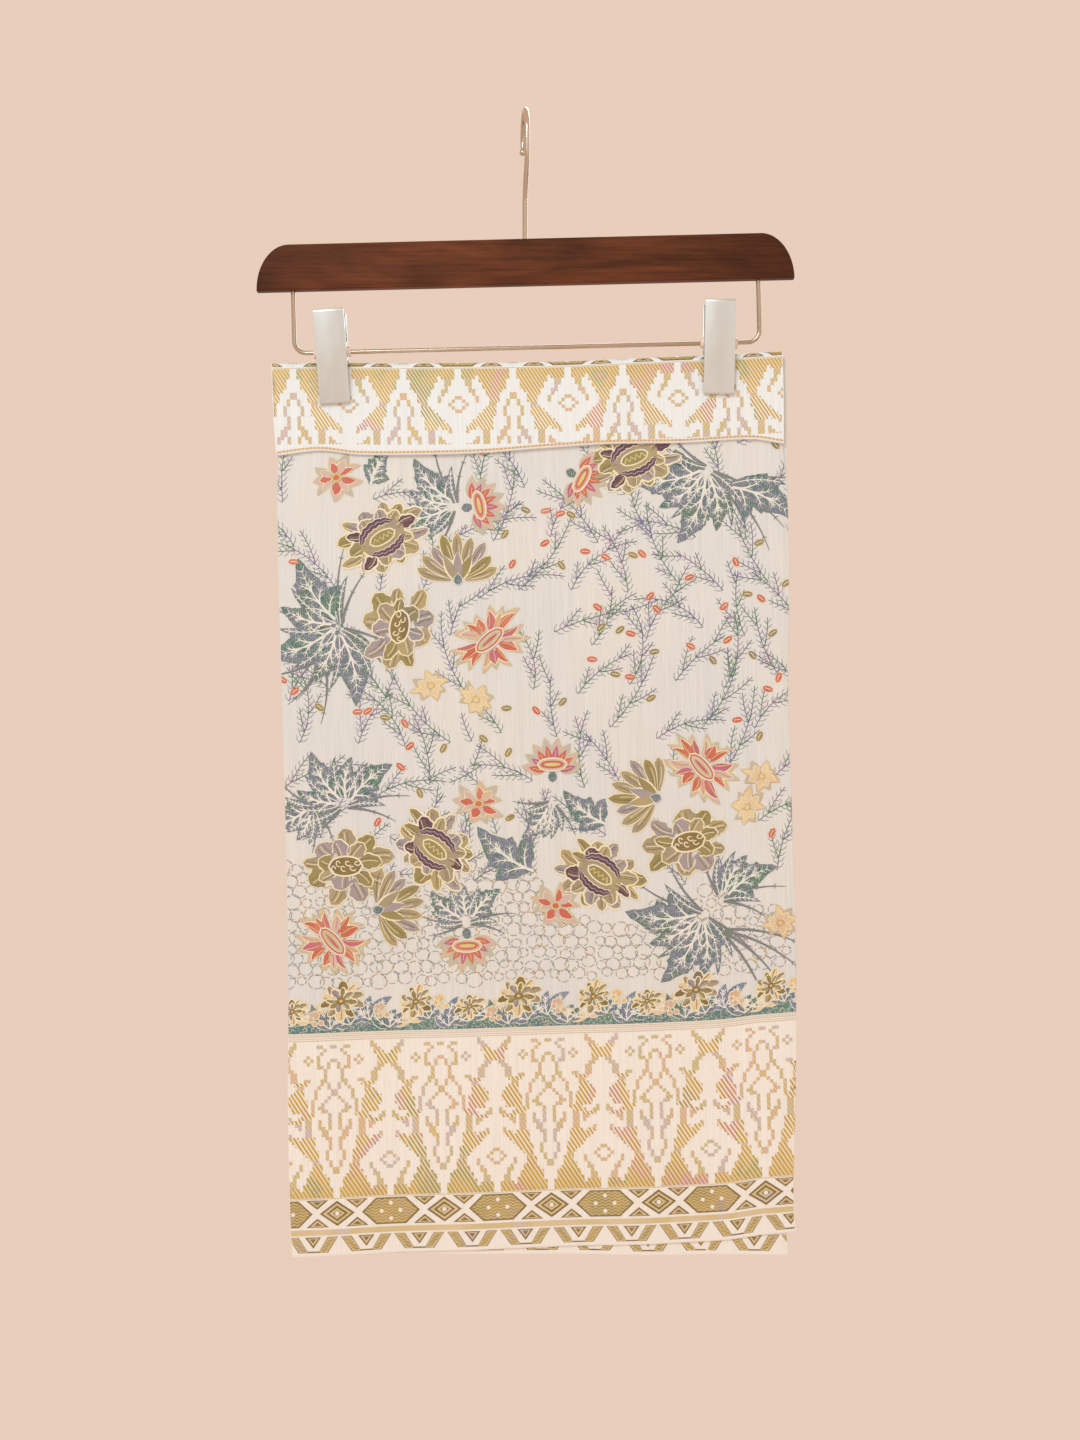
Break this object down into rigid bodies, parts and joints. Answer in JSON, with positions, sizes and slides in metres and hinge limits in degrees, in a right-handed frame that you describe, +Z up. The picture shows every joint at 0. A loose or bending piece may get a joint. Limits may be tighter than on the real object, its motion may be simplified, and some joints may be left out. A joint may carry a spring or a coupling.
{
  "type": "samping on a clip hanger",
  "caption": "Samping of brocade cloth folded flat, with its waist turned down, hung by two clips from a wooden bar hanger.",
  "frame": {"origin": "top of the hook's inside, where the hook bears on a rail", "axes": "+Z up, against the way the cloth hangs; X along the hanger bar; -Y the front, where the waist is turned down"},
  "size_m": [0.3616, 0.0392, 0.7707],
  "materials": {
    "brocade": "woven brocade, ivory ground with gold, grey-green, tan and coral figures",
    "bar_wood": "satin lacquered reddish brown",
    "wire_nickel": "polished warm nickel plating",
    "clip_nickel": "satin warm nickel plating",
    "bush_plastic": "smooth cream plastic"
  },
  "bodies": {
    "root": {"hook": "wire_nickel", "hanger_bar": "bar_wood", "clip_rod": "wire_nickel", "clip_left_front_plate": "clip_nickel", "clip_left_back_plate": "clip_nickel", "clip_left_spring": "wire_nickel", "clip_left_bush": "bush_plastic", "clip_right_front_plate": "clip_nickel", "clip_right_back_plate": "clip_nickel", "clip_right_spring": "wire_nickel", "clip_right_bush": "bush_plastic", "waist_flap": "brocade", "front_panel": "brocade", "inner_layers": "brocade", "back_panel": "brocade"}
  },
  "joints": []
}
